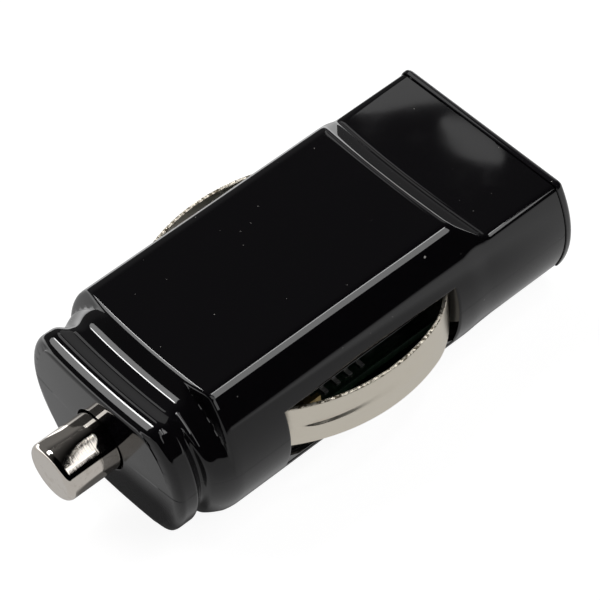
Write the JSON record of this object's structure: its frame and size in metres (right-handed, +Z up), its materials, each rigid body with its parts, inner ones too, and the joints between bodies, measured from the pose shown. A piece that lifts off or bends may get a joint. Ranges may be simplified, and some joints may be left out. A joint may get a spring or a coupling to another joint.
{
  "type": "car usb charger plug",
  "caption": "Low, flat-topped charger plug for a car's 12 volt socket: sprung centre pin, bowed side contacts and a USB socket in the rear face.",
  "frame": {"origin": "middle of the box round the whole plug, on the plane of the lower flat that it lies on", "axes": "+X from the centre pin to the USB socket, +Z up out of the upper flat; the centre pin's axis lies 7.08 mm above the origin"},
  "size_m": [0.0458, 0.0244, 0.0142],
  "materials": {
    "shell": "gloss",
    "cap": "gloss",
    "pin": "nickel plate",
    "spring": "satin",
    "brass": "satin",
    "strip": "satin nickel plate",
    "board": "satin",
    "socket_metal": "bright nickel plate",
    "socket_block": "matt",
    "gilt": "gilt",
    "ferrite": "matt",
    "copper": "enamelled copper",
    "can": "satin",
    "bung": "matt",
    "tin": "tinned",
    "epoxy": "matt",
    "resistor": "satin",
    "ceramic": "matt"
  },
  "bodies": {
    "housing": {"upper_shell": "shell", "lower_shell": "shell", "end_cap": "cap", "pin_spring": "spring", "spring_terminal": "brass", "contact_tab_near": "brass", "contact_tab_far": "brass", "circuit_board": "board", "usb_shell": "socket_metal", "usb_insulator": "socket_block", "usb_contacts": "gilt", "ferrite_core": "ferrite", "choke_winding": "copper", "input_capacitor": "can", "output_capacitor": "can", "capacitor_bungs": "bung", "capacitor_leads": "tin", "converter_chip": "epoxy", "chip_leads": "tin", "diode": "epoxy", "diode_leads": "tin", "chip_resistors": "resistor", "chip_capacitors": "ceramic", "chip_terminals": "tin"},
    "pin": {"centre_pin": "pin"},
    "near_contact": {"side_contact_near": "strip"},
    "far_contact": {"side_contact_far": "strip"}
  },
  "joints": [
    {"name": "pin_press", "type": "slide", "parent": "housing", "child": "pin", "axis": [1, 0, 0], "range_m": [0, 0.0022], "stiffness_N_per_m": 600, "springref_m": -0.002, "deforming": ["pin_spring"]},
    {"name": "near_contact_press", "type": "slide", "parent": "housing", "child": "near_contact", "axis": [0, 1, 0], "range_m": [0, 0.0015], "stiffness_N_per_m": 2500, "springref_m": -0.0004},
    {"name": "far_contact_press", "type": "slide", "parent": "housing", "child": "far_contact", "axis": [0, -1, 0], "range_m": [0, 0.0015], "stiffness_N_per_m": 2500, "springref_m": -0.0004}
  ]
}
